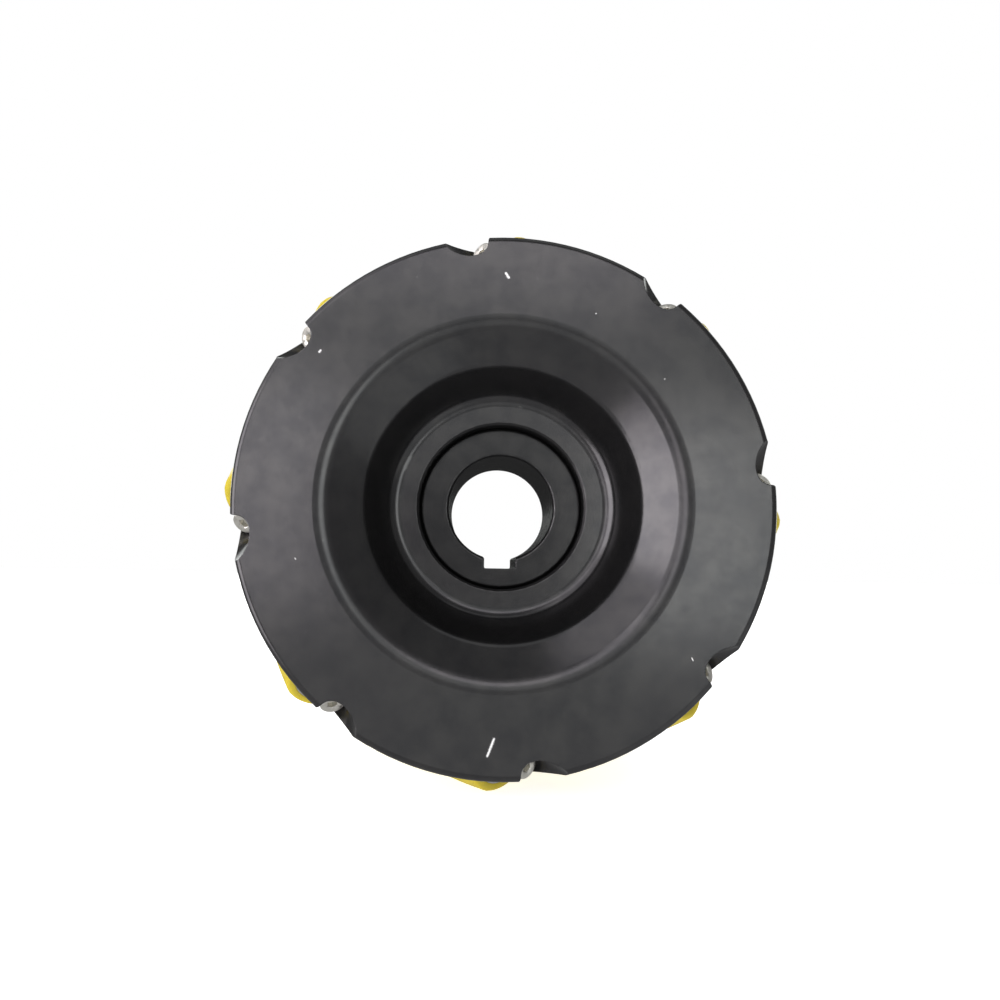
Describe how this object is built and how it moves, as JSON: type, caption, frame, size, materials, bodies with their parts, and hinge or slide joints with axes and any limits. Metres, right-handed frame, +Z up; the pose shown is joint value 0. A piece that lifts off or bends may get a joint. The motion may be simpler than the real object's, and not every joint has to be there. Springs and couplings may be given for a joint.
{
  "type": "mecanum wheel",
  "caption": "Mecanum wheel with dished metal side plates, a keyed hub bore and barrel-shaped rollers turning on axles tilted 45 degrees.",
  "frame": {"origin": "centre of the wheel: on the shaft bore's axis, halfway between the two side faces", "axes": "+Y along the wheel's axis towards the inner side, where the shaft comes from; the outer, dished face with no flange screws faces -Y; +Z up, opposite the keyway"},
  "size_m": [0.203, 0.1, 0.203],
  "materials": {
    "anodised_plate": "dark satin anodised, fine bead-blasted grain",
    "anodised_hub": "dark satin anodised, turned",
    "black_screw": "black oxide",
    "ground_steel": "ground steel",
    "plated_screw": "plain stainless steel",
    "bearing_steel": "polished bearing steel",
    "turned_steel": "turned steel",
    "tread_polyurethane": "moulded yellow polyurethane, satin",
    "roller_core_aluminium": "turned aluminium",
    "seal_rubber": "matt black rubber"
  },
  "bodies": {
    "root": {"front_plate": "anodised_plate", "rear_plate": "anodised_plate", "hub_sleeve": "anodised_hub", "hub_flange_screws": "black_screw", "hub_dowel_pins": "ground_steel", "axle_screws_front": "plated_screw", "axle_screws_rear": "plated_screw", "axle_screw_washers": "plated_screw", "axle_1": "ground_steel", "axle_2": "ground_steel", "axle_3": "ground_steel", "axle_4": "ground_steel", "axle_5": "ground_steel", "axle_6": "ground_steel", "axle_7": "ground_steel", "axle_8": "ground_steel", "bearing_inner_rings": "bearing_steel", "bearing_spacer_sleeves": "turned_steel", "thrust_washers": "turned_steel"},
    "roller_1": {"roller_1_tread": "tread_polyurethane", "roller_1_core": "roller_core_aluminium", "roller_1_outer_rings": "bearing_steel", "roller_1_ball_cages": "bearing_steel", "roller_1_seals": "seal_rubber"},
    "roller_2": {"roller_2_tread": "tread_polyurethane", "roller_2_core": "roller_core_aluminium", "roller_2_outer_rings": "bearing_steel", "roller_2_ball_cages": "bearing_steel", "roller_2_seals": "seal_rubber"},
    "roller_3": {"roller_3_tread": "tread_polyurethane", "roller_3_core": "roller_core_aluminium", "roller_3_outer_rings": "bearing_steel", "roller_3_ball_cages": "bearing_steel", "roller_3_seals": "seal_rubber"},
    "roller_4": {"roller_4_tread": "tread_polyurethane", "roller_4_core": "roller_core_aluminium", "roller_4_outer_rings": "bearing_steel", "roller_4_ball_cages": "bearing_steel", "roller_4_seals": "seal_rubber"},
    "roller_5": {"roller_5_tread": "tread_polyurethane", "roller_5_core": "roller_core_aluminium", "roller_5_outer_rings": "bearing_steel", "roller_5_ball_cages": "bearing_steel", "roller_5_seals": "seal_rubber"},
    "roller_6": {"roller_6_tread": "tread_polyurethane", "roller_6_core": "roller_core_aluminium", "roller_6_outer_rings": "bearing_steel", "roller_6_ball_cages": "bearing_steel", "roller_6_seals": "seal_rubber"},
    "roller_7": {"roller_7_tread": "tread_polyurethane", "roller_7_core": "roller_core_aluminium", "roller_7_outer_rings": "bearing_steel", "roller_7_ball_cages": "bearing_steel", "roller_7_seals": "seal_rubber"},
    "roller_8": {"roller_8_tread": "tread_polyurethane", "roller_8_core": "roller_core_aluminium", "roller_8_outer_rings": "bearing_steel", "roller_8_ball_cages": "bearing_steel", "roller_8_seals": "seal_rubber"}
  },
  "joints": [
    {"name": "roller_1_spin", "type": "hinge", "parent": "root", "child": "roller_1", "pos_m": [0.03061, 0, 0.07391], "axis": [0.6533, 0.7071, -0.2706], "continuous": true},
    {"name": "roller_2_spin", "type": "hinge", "parent": "root", "child": "roller_2", "pos_m": [0.07391, 0, 0.03061], "axis": [0.2706, 0.7071, -0.6533], "continuous": true},
    {"name": "roller_3_spin", "type": "hinge", "parent": "root", "child": "roller_3", "pos_m": [0.07391, 0, -0.03061], "axis": [-0.2706, 0.7071, -0.6533], "continuous": true},
    {"name": "roller_4_spin", "type": "hinge", "parent": "root", "child": "roller_4", "pos_m": [0.03061, 0, -0.07391], "axis": [-0.6533, 0.7071, -0.2706], "continuous": true},
    {"name": "roller_5_spin", "type": "hinge", "parent": "root", "child": "roller_5", "pos_m": [-0.03061, 0, -0.07391], "axis": [-0.6533, 0.7071, 0.2706], "continuous": true},
    {"name": "roller_6_spin", "type": "hinge", "parent": "root", "child": "roller_6", "pos_m": [-0.07391, 0, -0.03061], "axis": [-0.2706, 0.7071, 0.6533], "continuous": true},
    {"name": "roller_7_spin", "type": "hinge", "parent": "root", "child": "roller_7", "pos_m": [-0.07391, 0, 0.03061], "axis": [0.2706, 0.7071, 0.6533], "continuous": true},
    {"name": "roller_8_spin", "type": "hinge", "parent": "root", "child": "roller_8", "pos_m": [-0.03061, 0, 0.07391], "axis": [0.6533, 0.7071, 0.2706], "continuous": true}
  ]
}
